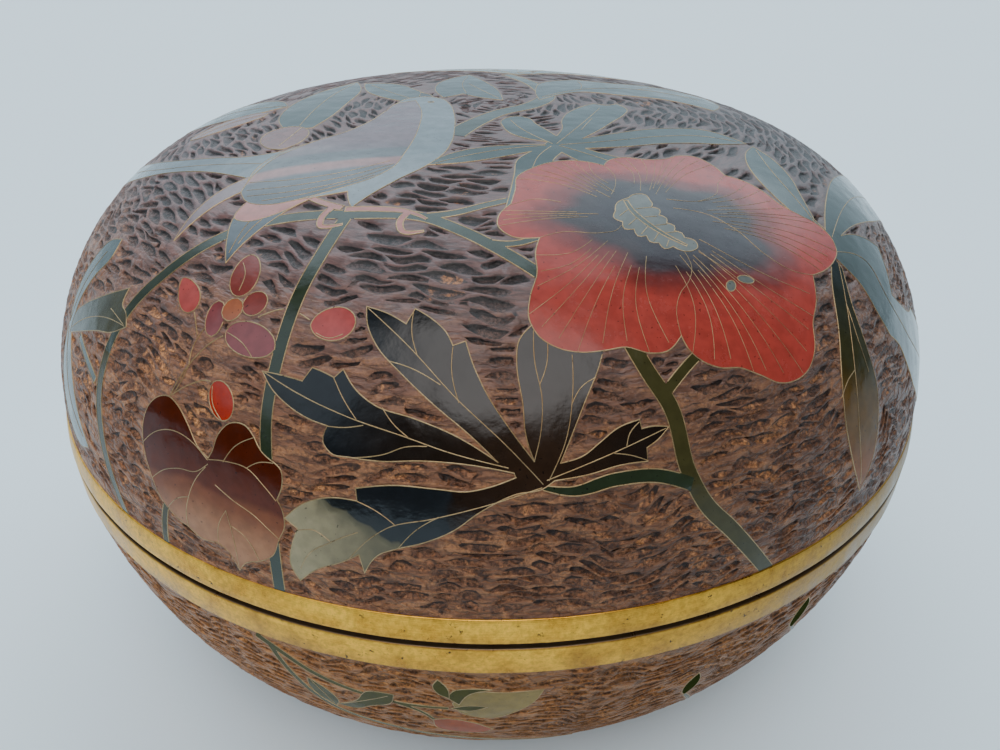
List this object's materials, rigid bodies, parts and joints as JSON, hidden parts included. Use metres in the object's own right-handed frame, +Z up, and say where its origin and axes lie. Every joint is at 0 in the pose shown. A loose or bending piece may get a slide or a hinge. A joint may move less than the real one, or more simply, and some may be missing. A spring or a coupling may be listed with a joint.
{
  "type": "cloisonne enamel box",
  "caption": "Round lidded box of enamelled metal with a domed lift-off lid, brass-banded edges, a centring collar and a low foot.",
  "frame": {"origin": "centre of the foot's underside, on the surface the box stands on", "axes": "+Z up through the middle of the lid; -Y is the side of the lid's picture that faces the viewer"},
  "size_m": [0.25, 0.25, 0.1495],
  "materials": {
    "enamel": "bark-textured brown enamel with glossy inlaid coloured enamels",
    "brass": "worn satin brass"
  },
  "bodies": {
    "root": {"bowl": "enamel", "bowl_rim": "brass", "lid_rim": "brass", "lid": "enamel"}
  },
  "joints": []
}
